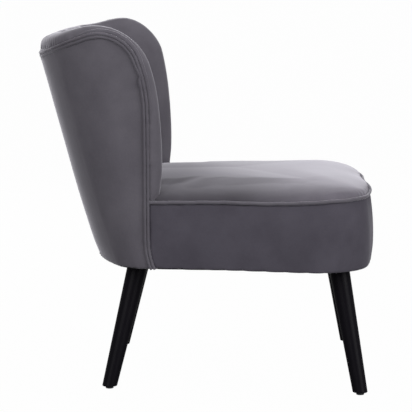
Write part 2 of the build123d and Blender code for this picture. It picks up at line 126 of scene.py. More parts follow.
# Zinc plate: a bright, slightly blue metal whose crystals make the gloss uneven
zinc = new_material("zinc_plated_steel")
tree = zinc.node_tree
place = add_node(tree, "ShaderNodeTexCoord", {})
spangle = add_node(
    tree, "ShaderNodeTexNoise",
    {"Vector": place.outputs["Object"], "Scale": per_metre(ZINC_SPANGLE_MM), "Detail": 2.0})
gloss = add_node(
    tree, "ShaderNodeMapRange", {"Value": spangle.outputs["Fac"], "To Min": 0.3, "To Max": 0.5})
plate = add_node(
    tree, "ShaderNodeBsdfPrincipled",
    {"Base Color": linear(ZINC), "Metallic": 1.0, "Roughness": gloss.outputs["Result"]})
add_node(tree, "ShaderNodeOutputMaterial", {"Surface": plate.outputs["BSDF"]})
dress(FASTENERS, zinc)

# Webbing, deck cloth and wadding: elastic bands stapled over the rails, a jute cloth over them, and
# polyester wadding round the rails. They carry the foam and stay out of sight.
WEBBING = ("back_webbing", "seat_webbing_long", "seat_webbing_cross")
WEAVES = (
    ("elastic_webbing", WEBBING, "#2b2a2c", "#3d3b3e", 3.0),
    ("jute_deck_cloth", ("seat_deck",), "#9a835c", "#b9a37a", 2.0),
    ("polyester_wadding", ("seat_wadding",), "#e6e4de", "#f2f0ea", 8.0),
)
WAVES_PER_SCALE = 3.2

# Woven straps and cloth: matt threads crossing at a regular spacing, each rib painted paler on its top as a
# painted highlight where it catches a little light
for weave_name, woven_nodes, dark, light, thread_mm in WEAVES:
    woven = new_material(weave_name)
    tree = woven.node_tree
    place = add_node(tree, "ShaderNodeTexCoord", {})
    threads = [
        add_node(
            tree, "ShaderNodeTexWave",
            {"Vector": place.outputs["Object"], "Scale": per_metre(thread_mm) / WAVES_PER_SCALE,
             "Distortion": 0.6},
            bands_direction=direction)
        for direction in ("X", "Y")
    ]
    crossing = add_node(
        tree, "ShaderNodeMath",
        {0: threads[0].outputs["Fac"], 1: threads[1].outputs["Fac"]},
        operation="MULTIPLY")
    # The weave's two colours, with the pale tops of the ribs as a painted highlight
    weave_and_painted_highlight = add_node(
        tree, "ShaderNodeMix", {"Factor": crossing.outputs["Value"], "A": linear(dark), "B": linear(light)},
        data_type="RGBA")
    thread_bump = add_node(
        tree, "ShaderNodeBump", {"Height": crossing.outputs["Value"], "Strength": 0.4, "Distance": 0.0005})
    cloth = add_node(
        tree, "ShaderNodeBsdfPrincipled",
        {"Base Color": weave_and_painted_highlight.outputs["Result"], "Roughness": 0.9,
         "Normal": thread_bump.outputs["Normal"]})
    add_node(tree, "ShaderNodeOutputMaterial", {"Surface": cloth.outputs["BSDF"]})
    dress(woven_nodes, woven)

# Seat cushion: a block of foam crowned in the middle, under a velvet top panel that is sewn to the border
# with a piped seam. The foam pushes the panel up, and the seam holds it down all round.
SEAT_VOXEL = 0.006
SEAT_PASSES = 6
SEAT_PRESSURE = 4.0
SEAT_SWELL_CAP = 0.003
SEAT_FREE_HEIGHT = 0.036
# Crown: its height in the middle, its run in from the seam, and how far it is blended
SEAT_CROWN = 0.0415
SEAT_CROWN_RUN = 0.29
CROWN_BLEND = 0.55
CROWN_TURNS = 8
CROWN_PASSES = 3
# Piped seam: its wander, as places along Y with the rise there, and the dent in the front
SEAM_WANDER = ((-0.34, -0.0022), (-0.26, -0.0015), (-0.156, -0.0031), (0.0, 0.0016), (0.1, 0.003))
SEAM_DENT = 0.010
SEAM_DENT_AT = 0.03
SEAM_DENT_REACH = 0.09
SEAM_DENT_FROM = -0.28
SEAM_DENT_RUN = 0.04
# What the soft pieces share: the thickness of a cover, the smoothing and the cloth pressure
DOWN = Vector((0, 0, -1))
COVER_THICKNESS = 0.003
MERGE_REACH = 0.00001
SMOOTH_FACTOR = 0.5
SIM_FRAMES = 20
SIM_HELD_BELOW = 0.05
QUICK_SWELL = 0.8
# Cords of the solids, and the steps in which their middle is followed
CORD_RADIUS = 0.003
CORD_RING = CORD_RADIUS * 1.8
CORD_VOXEL = 0.0015
CORD_STEP = 0.003
CORD_LEAST_STEP = CORD_STEP / 3
CORD_REAR_WEIGHT = 10
# Velvet: the size of its patches and of its pile as drawn, then the colours of the seat, with the places
# along Y and the shares of its painted shade at the rear and painted light at the front
VELVET_NAP_MM = 70.0
VELVET_PILE_MM = 3.5
VELVET_SHEEN_TINT = "#dcdae2"
SEAT_DEEP = "#3f3c42"
SEAT_LIT = "#57545b"
SEAT_PAINTED_SHADE_AT = -0.06
SEAT_PAINTED_LIGHT_AT = -0.24
SEAT_PAINTED_SHADE_SHARE = 0.75
SEAT_PAINTED_LIGHT_SHARE = 1.65


def soft_copy(name, *sources):
    """A new object holding the merged meshes of CAD nodes, at the same place."""
    bpy.ops.object.select_all(action="DESELECT")
    for source in sources:
        twin = bpy.data.objects.new(name, nodes[source].data.copy())
        scene.collection.objects.link(twin)
        twin.select_set(True)
        bpy.context.view_layer.objects.active = twin
    if len(sources) > 1:
        bpy.ops.object.join()
    bpy.ops.object.mode_set(mode="EDIT")
    bpy.ops.mesh.select_all(action="SELECT")
    bpy.ops.mesh.remove_doubles(threshold=MERGE_REACH)
    bpy.ops.object.mode_set(mode="OBJECT")
    return bpy.context.object


def pick(piece):
    """Makes a piece the only selected object."""
    bpy.ops.object.select_all(action="DESELECT")
    piece.select_set(True)
    bpy.context.view_layer.objects.active = piece


def apply_modifier(piece, kind, **settings):
    """Adds a modifier to a piece and applies it."""
    pick(piece)
    modifier = piece.modifiers.new(kind.lower(), kind)
    for name, value in settings.items():
        setattr(modifier, name, value)
    bpy.ops.object.modifier_apply(modifier=modifier.name)


def soften(piece, passes, **settings):
    """Smooths a piece in a number of passes."""
    apply_modifier(piece, "SMOOTH", factor=SMOOTH_FACTOR, iterations=passes, **settings)


def even_out(piece, voxel, passes):
    """Gives a piece one even skin of small quads, with its edges eased."""
    apply_modifier(piece, "REMESH", mode="VOXEL", voxel_size=voxel)
    soften(piece, passes)


def ease(value):
    """Smooth step from 0 to 1."""
    value = min(max(value, 0.0), 1.0)
    return value * value * (3 - 2 * value)


def swell(piece, pressure, cap, give):
    """Fills a cushion by cloth pressure.

    Points move outwards alone, up to the share of the cap that give allows.
    """
    mesh = piece.data
    start = [v.co.copy() for v in mesh.vertices]
    outwards = [v.normal.copy() for v in mesh.vertices]
    shares = [give(v.co) for v in mesh.vertices]
    rises = [cap * QUICK_SWELL] * len(start)
    pins = piece.vertex_groups.new(name="held")
    pins.add([i for i, share in enumerate(shares) if share < SIM_HELD_BELOW], 1.0, "REPLACE")
    filling = piece.modifiers.new("filling", "CLOTH")
    filling.settings.vertex_group_mass = pins.name
    filling.settings.use_pressure = True
    filling.settings.uniform_pressure_force = pressure
    filling.settings.effector_weights.gravity = 0
    for step in range(1, SIM_FRAMES + 1):
        scene.frame_set(step)
    pick(piece)
    bpy.ops.object.modifier_apply(modifier=filling.name)
    scene.frame_set(1)
    rises = [(v.co - old).dot(normal) for v, old, normal in zip(mesh.vertices, start, outwards)]
    for v, old, normal, rise, share in zip(mesh.vertices, start, outwards, rises, shares):
        v.co = old + normal * min(max(rise, 0), cap) * share
    mesh.update()


def move_points(piece, shift):
    """Moves each point of a piece by what shift gives for its place and normal."""
    normals = [v.normal.copy() for v in piece.data.vertices]
    for v, normal in zip(piece.data.vertices, normals):
        v.co += shift(v.co, normal)
    piece.data.update()


def cover_with(piece, material, slot_name, *replaced):
    """Gives a soft piece its material, smooth shading and its place in the chair."""
    piece.data.materials.clear()
    piece.data.materials.append(material)
    pick(piece)
    bpy.ops.object.shade_smooth()
    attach(piece, "root")
    if replaced:
        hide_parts(*replaced)


def cut_velvet(name, deep, lit, sheen, sheen_roughness, painted_light=None):
    """Velvet: a dense upright pile of fine fibres, with its nap lying one way.

    Looked at square on it is deep and matt, and along the surface the fibre ends scatter light, so edges
    glow. Hands leave patches where the nap lies differently. The pile is too fine to show, so it is drawn
    a few millimetres coarse. Where painted light and shade are given, the colour is multiplied from the
    first place along Y to the second by the two shares: a share below one is painted shade, above one painted
    light.
    """
    velvet = new_material(name)
    tree = velvet.node_tree
    place = add_node(tree, "ShaderNodeTexCoord", {})
    nap = add_node(
        tree, "ShaderNodeTexNoise",
        {"Vector": place.outputs["Object"], "Scale": per_metre(VELVET_NAP_MM),
         "Detail": 3.0, "Roughness": 0.55})
    pile = add_node(
        tree, "ShaderNodeTexNoise",
        {"Vector": place.outputs["Object"], "Scale": per_metre(VELVET_PILE_MM),
         "Detail": 2.0, "Roughness": 0.7})
    nap_share = add_node(
        tree, "ShaderNodeMapRange",
        {"Value": nap.outputs["Fac"], "From Min": 0.3, "From Max": 0.7, "To Min": 0.3, "To Max": 0.7})
    pile_share = add_node(
        tree, "ShaderNodeMapRange", {"Value": pile.outputs["Fac"], "To Min": -0.15, "To Max": 0.15})
    shade = add_node(
        tree, "ShaderNodeMath",
        {0: nap_share.outputs["Result"], 1: pile_share.outputs["Result"]},
        operation="ADD")
    pile_colour = add_node(
        tree, "ShaderNodeMix", {"Factor": shade.outputs["Value"], "A": linear(deep), "B": linear(lit)},
        data_type="RGBA")
    colour = pile_colour.outputs["Result"]
    # Painted shade and painted light: the colour is multiplied darker or paler along Y
    if painted_light:
        rear, front, rear_share, front_share = painted_light
        along = add_node(tree, "ShaderNodeSeparateXYZ", {"Vector": place.outputs["Object"]})
        tone = add_node(
            tree, "ShaderNodeMapRange",
            {"Value": along.outputs["Y"], "From Min": rear, "From Max": front,
             "To Min": rear_share, "To Max": front_share},
            interpolation_type="SMOOTHSTEP")
        painted_light_colour = add_node(
            tree, "ShaderNodeMix", {"Factor": 1.0, "A": colour, "B": tone.outputs["Result"]},
            data_type="RGBA", blend_type="MULTIPLY")
        colour = painted_light_colour.outputs["Result"]
    pile_bump = add_node(
        tree, "ShaderNodeBump", {"Height": pile.outputs["Fac"], "Strength": 0.12, "Distance": 0.0006})
    fibres = add_node(
        tree, "ShaderNodeBsdfPrincipled",
        {"Base Color": colour, "Roughness": 0.95, "Specular IOR Level": 0.1,
         "Sheen Weight": sheen, "Sheen Roughness": sheen_roughness, "Sheen Tint": linear(VELVET_SHEEN_TINT),
         "Normal": pile_bump.outputs["Normal"]})
    add_node(tree, "ShaderNodeOutputMaterial", {"Surface": fibres.outputs["BSDF"]})
    return velvet


# The seat's colours are darker than the panel's, and they are multiplied darker towards the rear and paler
# towards the front: painted shade at the rear and painted light at the front
seat_velvet_painted_light = cut_velvet(
    "grey_cut_velvet_seat_painted_light", SEAT_DEEP, SEAT_LIT, sheen=1.0, sheen_roughness=0.35,
    painted_light=(SEAT_PAINTED_SHADE_AT, SEAT_PAINTED_LIGHT_AT, SEAT_PAINTED_SHADE_SHARE, SEAT_PAINTED_LIGHT_SHARE))


def search_tree(*lines):
    """A search tree of the points of one or more lines."""
    points = [point for line in lines for point in line]
    found = kdtree.KDTree(len(points))
    for index, point in enumerate(points):
        found.insert(point, index)
    found.balance()
    return found


def walk_cord(source, end_rank, heading):
    """Points along the middle of a CAD cord, in short steps from the end whose points rank lowest."""
    even = soft_copy(source + "_walk", source)
    apply_modifier(even, "REMESH", mode="VOXEL", voxel_size=CORD_VOXEL)
    places = [v.co.copy() for v in even.data.vertices]
    bpy.data.objects.remove(even)
    skin = search_tree(places)

    def middle_of(point):
        ring = [place for place, index, distance in skin.find_range(point, CORD_RING)]
        return sum(ring, Vector()) / len(ring) if ring else point

    line = [middle_of(min(places, key=end_rank))]
    heading = Vector(heading)
    step = heading
    while step.dot(heading) > CORD_LEAST_STEP:
        step = middle_of(line[-1] + heading * CORD_STEP) - line[-1]
        heading = step.normalized()
        line.append(line[-1] + step)
    # The steps shrink at both ends, so those points are left out and the line is drawn on straight
    line = line[1:-2]
    return [line[0] * 2 - line[1]] + line + [line[-1] * 2 - line[-2]]


def rear_right_rank(point):
    """Ranks the points of the seat's cord, with its rear right end lowest."""
    return point.x - point.y * CORD_REAR_WEIGHT


seam_low, seam_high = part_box("seat_piping")
seat_line = walk_cord("seat_piping", rear_right_rank, (0, -1, 0))
seat_seam = search_tree([Vector((point.x, point.y, 0)) for point in seat_line])


def seam_rise(point):
    """How far the seam of the seat wanders up or down from its even run."""
    y = min(max(point.y, SEAM_WANDER[0][0]), SEAM_WANDER[-1][0])
    for (start, low), (end, high) in zip(SEAM_WANDER, SEAM_WANDER[1:]):
        if start <= y <= end:
            return low + (high - low) * ease((y - start) / (end - start))


def seam_dent(point):
    """How far the seam is dented in near the middle of the front."""
    dent = SEAM_DENT * exp(-((point.x - SEAM_DENT_AT) / SEAM_DENT_REACH) ** 2)
    return dent * ease((SEAM_DENT_FROM - point.y) / SEAM_DENT_RUN)


def seam_dip(point):
    """How far the seam of the seat lies from its even run."""
    return Vector((0, seam_dent(point), seam_rise(point)))


def height_over_seam(point):
    """Height of a point over the piped seam of the seat, which climbs towards the front."""
    share = (seam_high.y - point.y) / (seam_high.y - seam_low.y)
    return point.z - (seam_low.z + (seam_high.z - seam_low.z) * share)


def crown_share(place):
    """Share of the full crown at a place in plan: a quarter ellipse from the seam to the middle."""
    inside = min(seat_seam.find(place)[2] / SEAT_CROWN_RUN, 1)
    return sqrt(1 - (1 - inside) ** 2)


def crown_seat(point, normal):
    """Moves a point of the top onto the crown, blended over its surroundings so that it has no ridges."""
    over = height_over_seam(point)
    if over < 0:
        return seam_dip(point)
    place = Vector((point.x, point.y, 0))
    reach = seat_seam.find(place)[2] * CROWN_BLEND
    turns = [pi * 2 * turn / CROWN_TURNS for turn in range(CROWN_TURNS)]
    shares = [crown_share(place + Vector((cos(turn), sin(turn), 0)) * reach) for turn in turns]
    return seam_dip(point) - DOWN * (SEAT_CROWN * sum(shares) / CROWN_TURNS - over)


def top_give(point):
    """Share of its swell that a point of the cushion takes: none at the seam, all of it well above."""
    return ease(height_over_seam(point) / SEAT_FREE_HEIGHT)


seat_cushion = soft_copy("seat_cushion", "seat_foam")
even_out(seat_cushion, SEAT_VOXEL, SEAT_PASSES)
apply_modifier(seat_cushion, "DISPLACE", strength=COVER_THICKNESS, mid_level=0.0)
move_points(seat_cushion, crown_seat)
soften(seat_cushion, CROWN_PASSES)
swell(seat_cushion, SEAT_PRESSURE, SEAT_SWELL_CAP, top_give)
apply_modifier(seat_cushion, "SUBSURF", levels=1, render_levels=1)
cover_with(seat_cushion, seat_velvet_painted_light, "grey_velvet", "seat_foam", "seat_top_cover")

# Seat border: the upright velvet band round the front and sides, over wadding. It is sewn to the top panel
# along the piping, pulled down and stapled under the rails, so it bulges a little in between.
SEAT_MIDDLE = (0, -0.1)
SKIN_FACING = 0.3
BORDER_WALL = 0.008
BORDER_VOXEL = 0.004
BORDER_PASSES = 4
BORDER_BULGE = 0.005
BORDER_RISE = 0.0015
BORDER_RISE_PART = 1 / 2
BORDER_DENT_PART = 1 / 7
BORDER_TUCK = 0.013
BORDER_TUCK_RUN = 0.03
BORDER_TOE = 0.002
BORDER_TOE_PART = 1 / 4
BORDER_TOE_FROM = -0.30
BORDER_TOE_RUN = 0.03
BORDER_DROP = 0.0035
BORDER_DROP_RUN = 0.35
# Colours of the border, darker than the panel's: painted shade
BORDER_DEEP = "#3f3c44"
BORDER_LIT = "#54515a"

# The nap of the border runs across the light, so it glows less than the top; its colours are also painted
# darker than the panel's, as painted shade over the band
border_velvet_painted_shade = cut_velvet(
    "grey_cut_velvet_border_painted_shade", BORDER_DEEP, BORDER_LIT, sheen=0.4, sheen_roughness=0.3)


def level_out(point, middle):
    """Level direction from the middle of a part out to a point of its cover."""
    return Vector((point.x - middle[0], point.y - middle[1], 0)).normalized()


def drop_faces(piece, unwanted):
    """Deletes the faces of a piece that are unwanted."""
    pick(piece)
    bpy.ops.object.mode_set(mode="EDIT")
    bpy.ops.mesh.select_mode(type="FACE")
    bpy.ops.mesh.select_all(action="DESELECT")
    bpy.ops.object.mode_set(mode="OBJECT")
    for face in piece.data.polygons:
        face.select = unwanted(face)
    bpy.ops.object.mode_set(mode="EDIT")
    bpy.ops.mesh.delete(type="FACE")
    bpy.ops.object.mode_set(mode="OBJECT")


def outer_skin(name, middle, wall, *sources):
    """The outer faces of thin CAD covers, given a soft wall inwards."""
    skin = soft_copy(name, *sources)
    drop_faces(skin, lambda face: face.normal.dot(level_out(face.center, middle)) < SKIN_FACING)
    apply_modifier(skin, "SOLIDIFY", thickness=wall, offset=-1.0)
    return skin


border_low, border_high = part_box("seat_border")
seat_border = outer_skin("seat_border_cover", SEAT_MIDDLE, BORDER_WALL, "seat_border")
even_out(seat_border, BORDER_VOXEL, BORDER_PASSES)


def stretch_border(point, normal):
    """How the band bulges, reaches up to its piping, hangs lower at the front and tucks in behind the wings.

    The rise, the dent and the toe each take up a part of the band's height, from its upper or lower edge.
    """
    share = (point.z - border_low.z) / (border_high.z - border_low.z)
    free = ease((border_high.y - point.y) / BORDER_TUCK_RUN)
    bulge = level_out(point, SEAT_MIDDLE) * BORDER_BULGE * max(0, sin(pi * share)) * free
    reach_up = BORDER_RISE * ease(1 - (1 - share) / BORDER_RISE_PART)
    hang = BORDER_DROP * ease((border_high.y - point.y) / BORDER_DROP_RUN) * ease(1 - share)
    back = BORDER_TUCK * (1 - free) + seam_dent(point) * ease(1 - (1 - share) / BORDER_DENT_PART)
    toe = BORDER_TOE * ease((BORDER_TOE_FROM - point.y) / BORDER_TOE_RUN)
    back += toe * ease(1 - share / BORDER_TOE_PART)
    return bulge + Vector((0, back, reach_up - hang + seam_rise(point) * ease(share)))


move_points(seat_border, stretch_border)
cover_with(seat_border, border_velvet_painted_shade, "grey_velvet", "seat_border")

# Seat piping: a cotton cord wrapped in a bias strip of the same velvet. It is sewn into the seam between
# the top panel and the border, and its tails run in under the wings.
CORD_WAVER = 0.0004
CORD_WAVER_RUN = 0.05
TUCK_REACH = 0.008
SEAT_CORD_RADIUS = 0.0034
SEAT_CORD_PROUD = 0.0025
SEAT_CORD_TAIL = 0.011
PLAIN_DEEP = "#4d4a51"
PLAIN_LIT = "#646168"

# On the piping, the buttons and the outer panel the nap lies downwards, and it is brushed evenly
plain_velvet = cut_velvet(
    "grey_cut_velvet_nap_down", PLAIN_DEEP, PLAIN_LIT, sheen=0.85, sheen_roughness=0.3)


def sewn_cord(name, line, radius, tucks=()):
    """A round cord along a line.

    It wavers a little, and it is thicker at its tucks, each given as a place and a share.
    """
    shape = bpy.data.curves.new(name, "CURVE")
    shape.dimensions = "3D"
    shape.bevel_depth = radius
    shape.bevel_resolution = 3
    shape.use_fill_caps = True
    run = shape.splines.new("NURBS")
    run.points.add(len(line) - 1)
    for knot, point in zip(run.points, line):
        waver = noise.noise_vector(point / CORD_WAVER_RUN) * CORD_WAVER
        knot.co = (*(point + waver), 1)
        lumps = [share * exp(-((point - place).length / TUCK_REACH) ** 2) for place, share in tucks]
        knot.radius = 1 + sum(lumps)
    run.use_endpoint_u = True
    run.order_u = 4
    run.resolution_u = 1
    cord = bpy.data.objects.new(name, shape)
    scene.collection.objects.link(cord)
    pick(cord)
    bpy.ops.object.convert(target="MESH")
    return bpy.context.object


seat_cord_line = [
    point + seam_dip(point) + level_out(point, SEAT_MIDDLE) * SEAT_CORD_PROUD
    for point in seat_line
]
tail = Vector((0, SEAT_CORD_TAIL, 0))
seat_cord_line = [seat_cord_line[0] + tail] + seat_cord_line + [seat_cord_line[-1] + tail]
seat_cord = sewn_cord("seat_piping_cord", seat_cord_line, SEAT_CORD_RADIUS)
cover_with(seat_cord, plain_velvet, "grey_velvet", "seat_piping")

# Back pad: shaped foam over the webbing and both wing boards, rolled over their edge. Its velvet is pulled
# in by covered buttons, with pleats between them and from the top row over the roll.
BACK_VOXEL = 0.006
BACK_PASSES = 4
BACK_PRESSURE = 4.0
BACK_SWELL_CAP = 0.003
BACK_LIFT = 0.003
# Roll: on the left wing it is packed lower towards the rear
ROLL_EASE = 0.010
ROLL_EASE_AT = 0.235
ROLL_EASE_REACH = 0.045
ROLL_EASE_LOW = 0.60
ROLL_EASE_RUN = 0.1
ROLL_EASE_SIDE = 0.15
ROLL_REAR = 0.002
ROLL_REAR_FROM = 0.29
ROLL_REAR_RUN = 0.04
ROLL_TOP = 0.80
# Wings: slimmer at mid height, the left one fuller near its top, the right shoulder slimmer
WING_SLIM = 0.0035
WING_SLIM_AT = 0.53
WING_SLIM_REACH = 0.075
WING_FULL = 0.002
WING_FULL_AT = 0.665
WING_FULL_REACH = 0.035
WING_FRONT = 0.16
WING_FRONT_RUN = 0.06
SHOULDER_SLIM = 0.004
SHOULDER_AT = Vector((-0.27, 0.15, 0.71))
SHOULDER_REACH = 0.075
# Piped seam: it lies lower round the rear, and the velvet is drawn to its inner cord
SEAM_REAR_DROP = 0.0045
SEAM_REAR_FROM = 0.25
SEAM_REAR_RUN = 0.09
SEAM_REAR_LOW = 0.60
SEAM_REAR_HIGH = 0.715
SEAM_REAR_FADE = 0.036
CORD_DRAW = 0.7
CORD_DRAW_REACH = 0.012
CORD_COVER = 0.003
CORD_COVER_RUN = 0.045
# Tufts: the buttons hold the velvet, and the rims round them are smoothed
TUFT_HOLD = 0.012
TUFT_RUN = 0.05
TUFT_REACH = 0.13
TUFT_RIM = 0.03
TUFT_PASSES = 50
TUFT_TOP = 0.70
# Buttons, from the top row down, and the pleats that run between them
BUTTON_ROWS = (4, 3, 4)
BUTTON_PITCH = 0.125
BUTTON_TOP = 0.645
BUTTON_ROW_PITCH = 0.080
PLEAT_DEPTH = 0.004
PLEAT_WIDTH = 0.012
PLEAT_FADE = 2.5
PLEAT_SIDE = 1.4
PLEAT_SIDE_FADE = 1.96
PLEAT_PASSES = 6
REAR_FACING = 0.3
# Colours of the pad, paler than the panel's: painted light
BACK_DEEP = "#504d54"
BACK_LIT = "#68656c"

# The pad's velvet is painted a little paler than the panel outside: painted light on the rolled edge and
# inside the wings
back_velvet_painted_light = cut_velvet(
    "grey_cut_velvet_pad_painted_light", BACK_DEEP, BACK_LIT, sheen=0.85, sheen_roughness=0.3)

button_seats = search_tree([v.co for v in nodes["back_buttons"].data.vertices])
button_grid = []
for row, count in enumerate(BUTTON_ROWS):
    row_height = BUTTON_TOP - row * BUTTON_ROW_PITCH
    row_places = [(place - (count - 1) / 2) * BUTTON_PITCH for place in range(count)]
    button_grid.append([Vector((x, row_height)) for x in row_places])
pleats = [(button, Vector((button.x, ROLL_TOP))) for button in button_grid[0]]
for upper, lower in zip(button_grid, button_grid[1:]):
    pleats += [(a, b) for a in upper for b in lower if abs(a.x - b.x) < BUTTON_PITCH]
pleats += [(button, Vector((button.x, seam_high.z))) for button in button_grid[-1]]


def distance_to_run(point, a, b):
    """Distance of a flat point from the line between two others."""
    share = min(max((point - a).dot(b - a) / (b - a).length_squared, 0), 1)
    return (point - a - (b - a) * share).length


def pad_give(point):
    """Share of its swell that a point of the pad takes: none at the buttons and at the seat."""
    free = ease((button_seats.find(point)[2] - TUFT_HOLD) / TUFT_RUN)
    return free * ease((point.z - seam_low.z) / TUFT_RUN)


back_pad = soft_copy("back_pad", "back_foam")
even_out(back_pad, BACK_VOXEL, BACK_PASSES)
apply_modifier(back_pad, "DISPLACE", strength=BACK_LIFT, mid_level=0.0)
swell(back_pad, BACK_PRESSURE, BACK_SWELL_CAP, pad_give)
apply_modifier(back_pad, "SUBSURF", levels=1, render_levels=1)
rims = back_pad.vertex_groups.new(name="tuft_rims")
for v in back_pad.data.vertices:
    away = button_seats.find(v.co)[2]
    share = ease((away - TUFT_HOLD) / TUFT_RIM) * ease((TUFT_REACH - away) / TUFT_RIM)
    rims.add([v.index], share * ease((TUFT_TOP - v.co.z) / TUFT_RIM), "REPLACE")
soften(back_pad, TUFT_PASSES, vertex_group=rims.name)


def low_right_rank(point):
    """Ranks the points of a cord of the back, with its lower right end lowest."""
    return point.z + (point.x > 0)


inner_line = walk_cord("back_piping_inner", low_right_rank, (0, 0, 1))
inner_seam = search_tree(inner_line)


def seam_drop(point):
    """How far the piped seam lies lower round the rear of the back."""
    return DOWN * SEAM_REAR_DROP * ease((point.y - SEAM_REAR_FROM) / SEAM_REAR_RUN)


def pack_roll(point, normal):
    """How the roll, packed by hand, differs from the even form of the foam.

    The left wing is lower towards the rear and fuller near its top, both wings are slimmer at mid height,
    and the right shoulder is slimmer.
    """
    left = ease(point.x / ROLL_EASE_SIDE)
    lower = ROLL_EASE * exp(-((point.y - ROLL_EASE_AT) / ROLL_EASE_REACH) ** 2)
    lower *= ease((point.z - ROLL_EASE_LOW) / ROLL_EASE_RUN) * left
    slim = WING_SLIM * exp(-((point.z - WING_SLIM_AT) / WING_SLIM_REACH) ** 2)
    slim -= WING_FULL * exp(-((point.z - WING_FULL_AT) / WING_FULL_REACH) ** 2) * left
    back = slim * ease((WING_FRONT - point.y) / WING_FRONT_RUN)
    back -= ROLL_REAR * ease((point.y - ROLL_REAR_FROM) / ROLL_REAR_RUN)
    shoulder = SHOULDER_SLIM * exp(-((point - SHOULDER_AT).length / SHOULDER_REACH) ** 2)
    return Vector((0, back, -lower)) - normal * shoulder


def draw_to_cord(point, normal):
    """How the velvet follows the piped seam down at the rear, and is drawn to the inner cord and over it."""
    cord_place, index, away = inner_seam.find(point)
    near = exp(-(away / CORD_DRAW_REACH) ** 2)
    drawn = seam_drop(point) * ease((SEAM_REAR_HIGH - point.z) / SEAM_REAR_FADE)
    drawn += (cord_place - point) * CORD_DRAW * near
    cover = CORD_COVER * ease((point.z - SEAM_REAR_LOW) / ROLL_EASE_RUN)
    cover *= 1 - ease((point.y - SEAM_REAR_FROM) / CORD_COVER_RUN)
    return drawn + normal * cover * near


def sink_pleats(point, normal):
    """How the velvet sinks along the pleats, which fade out towards the rear and the sides."""
    if normal.y > REAR_FACING and point.z < BUTTON_TOP:
        return Vector()
    nearest = min(distance_to_run(Vector((point.x, point.z)), a, b) for a, b in pleats)
    share = ease(1 - PLEAT_FADE * normal.y) * ease(PLEAT_SIDE - PLEAT_SIDE_FADE * abs(normal.x))
    return normal * -PLEAT_DEPTH * exp(-(nearest / PLEAT_WIDTH) ** 2) * share


def dress_pad(point, normal):
    """All that the upholsterer's hands do to the pad."""
    return pack_roll(point, normal) + draw_to_cord(point, normal) + sink_pleats(point, normal)


move_points(back_pad, dress_pad)
soften(back_pad, PLEAT_PASSES)
cover_with(back_pad, back_velvet_painted_light, "grey_velvet", "back_foam", "back_inner_cover")

# Buttons: small domed metal shells with the same velvet pressed over them. Twine through the foam pulls
# them down to the webbing, so each sits deep in its tuft.
BUTTON_VOXEL = 0.0015
BUTTON_PASSES = 6
buttons = soft_copy("velvet_buttons", "back_buttons")
even_out(buttons, BUTTON_VOXEL, BUTTON_PASSES)
cover_with(buttons, plain_velvet, "grey_velvet", "back_buttons")

# Outer cover of the back: one panel of velvet over thin wadding, round both wings and the rear, from the
# piping down to the base, where it is stapled under the frame. Its edge runs on under the piping that is
# sewn to it.
OUTER_WALL = 0.009
OUTER_VOXEL = 0.004
OUTER_PASSES = 6
BACK_MIDDLE = (0, 0.09)
# Pull of the panel: in at the rear, down at its hem, and in along the piping
REAR_PULL = 0.0025
REAR_PULL_AT = 0.50
REAR_PULL_REACH = 0.12
REAR_PULL_FROM = 0.10
REAR_PULL_RUN = 0.10
HEM_PULL = 0.002
HEM_DROP = 0.0005
HEM_RUN = 0.035
SEAM_SINK = 0.003
SEAM_REACH = 0.0055
SEAM_DROP_RUN = 0.055
outer_line = walk_cord("back_piping_outer", low_right_rank, (0, 0, 1))
outer_seam = search_tree(outer_line)
back_seam = search_tree(inner_line, outer_line)
cover_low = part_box("back_outer_cover")[0]
outer_cover = outer_skin(
    "back_outer_panel", BACK_MIDDLE, OUTER_WALL,
    "back_outer_cover", "back_piping_inner", "back_piping_outer")
even_out(outer_cover, OUTER_VOXEL, OUTER_PASSES)


def pull_panel(point, normal):
    """How the panel is drawn in along the piping and at the rear, and down over the edge of the frame."""
    hem = ease((cover_low.z - point.z) / HEM_RUN + 1)
    sink = SEAM_SINK * exp(-(back_seam.find(point)[2] / SEAM_REACH) ** 2)
    pull = REAR_PULL * exp(-((point.z - REAR_PULL_AT) / REAR_PULL_REACH) ** 2) + HEM_PULL * hem
    sink += pull * ease((point.y - REAR_PULL_FROM) / REAR_PULL_RUN)
    drop = seam_drop(point) * ease((point.z - SEAM_REAR_LOW) / SEAM_DROP_RUN)
    return DOWN * HEM_DROP * hem + drop - level_out(point, BACK_MIDDLE) * sink


move_points(outer_cover, pull_panel)
cover_with(outer_cover, plain_velvet, "grey_velvet", "back_outer_cover")

# Double piping of the back: two velvet cords side by side on a flange, sewn down between the rolled edge
# and the outer panel. On the right side the ends of the strip are joined, which makes a lump, and the cords
# kink a little round the top.
CORD_PROUD = 0.002
CORD_REAR_SINK = 0.0035
CORD_REAR_FROM = 0.24
CORD_REAR_RUN = 0.07
FLANGE_RADIUS = 0.006
FLANGE_SHIFT = 0.0035
FLANGE_DEPTH = 0.008
# Join of the strip on the right side, and the tucks of the cords as places and shares
JOIN_HEIGHT = 0.627
JOIN_SQUEEZE = 0.0042
JOIN_REACH = 0.018
JOIN_STEP = 0.004
CORD_TUCKS = (
    (Vector((-0.284, 0.122, 0.619)), 0.45),
    (Vector((-0.288, 0.168, 0.705)), 0.2),
    (Vector((-0.285, 0.215, 0.712)), 0.2),
    (Vector((-0.210, 0.298, 0.684)), 0.2),
)


def cord_shift(point):
    """How a cord stands proud at the sides and sinks in at the rear.

    Over the join, on the right side, the outer cord is squeezed against the inner one as well.
    """
    sunk = CORD_REAR_SINK * ease((point.y - CORD_REAR_FROM) / CORD_REAR_RUN)
    shift = level_out(point, BACK_MIDDLE) * (CORD_PROUD - sunk) + seam_drop(point)
    if point.x < 0:
        over_join = point.z - JOIN_HEIGHT
        squeeze = JOIN_SQUEEZE * exp(-(over_join / JOIN_REACH) ** 2) * ease(over_join / JOIN_STEP)
        shift += (inner_seam.find(point)[0] - point).normalized() * squeeze
    return shift


